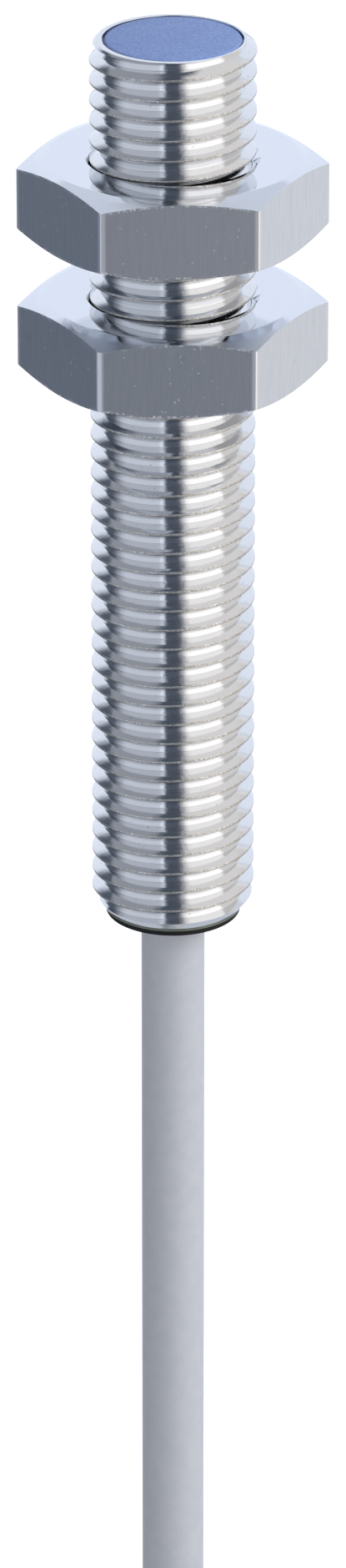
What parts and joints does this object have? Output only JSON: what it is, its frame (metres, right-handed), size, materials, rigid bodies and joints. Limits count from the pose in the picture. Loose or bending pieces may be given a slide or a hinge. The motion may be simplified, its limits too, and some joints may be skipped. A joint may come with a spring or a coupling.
{
  "type": "inductive proximity sensor",
  "caption": "Cylindrical threaded inductive proximity sensor in a metal tube, with a sensing cap, clamping nuts that slide along the thread, and a cable folded into a tied hank.",
  "frame": {"origin": "on the sensor's axis, in the middle of the gap between the two nuts, where the bracket holds it", "axes": "+Z along the axis towards the active face, +X across the corners of the nuts"},
  "size_m": [0.0294, 0.024, 0.2191],
  "materials": {
    "steel": "satin",
    "nut_steel": "satin",
    "cap_plastic": "matte",
    "ferrite": "matte",
    "bobbin_plastic": "satin",
    "copper": "polished",
    "board": "satin",
    "chip_body": "matte",
    "capacitor_body": "satin",
    "led_lens": "gloss",
    "resin": "satin",
    "guide_plastic": "satin",
    "plug_plastic": "matte",
    "sheath": "satin",
    "hank_bulk": "satin",
    "brown_insulation": "satin",
    "blue_insulation": "satin",
    "black_insulation": "satin",
    "tin": "satin",
    "tie_plastic": "satin"
  },
  "bodies": {
    "sensor": {"housing_tube": "steel", "front_cap": "cap_plastic", "ferrite_core": "ferrite", "coil_bobbin": "bobbin_plastic", "coil_winding": "copper", "coil_leads": "copper", "circuit_board": "board", "oscillator_chip": "chip_body", "output_transistor": "chip_body", "protection_diodes": "chip_body", "chip_capacitors": "capacitor_body", "chip_resistors": "chip_body", "status_led": "led_lens", "potting_resin": "resin", "light_guide": "guide_plastic", "rear_plug": "plug_plastic", "cable_entry": "sheath", "conductor_brown": "brown_insulation", "conductor_blue": "blue_insulation", "conductor_black": "black_insulation", "wire_strands": "copper", "solder_joints": "tin", "cable_lead": "sheath", "cable_hank": "hank_bulk", "hank_tie": "tie_plastic", "cable_tail": "sheath", "lead_brown": "brown_insulation", "lead_blue": "blue_insulation", "lead_black": "black_insulation", "lead_tips": "tin"},
    "front_nut": {"front_nut": "nut_steel"},
    "rear_nut": {"rear_nut": "nut_steel"}
  },
  "joints": [
    {"name": "front_nut_travel", "type": "slide", "parent": "sensor", "child": "front_nut", "axis": [0, 0, 1], "range_m": [-0.001, 0.005]},
    {"name": "rear_nut_travel", "type": "slide", "parent": "sensor", "child": "rear_nut", "axis": [0, 0, 1], "range_m": [-0.025, 0.001]}
  ]
}
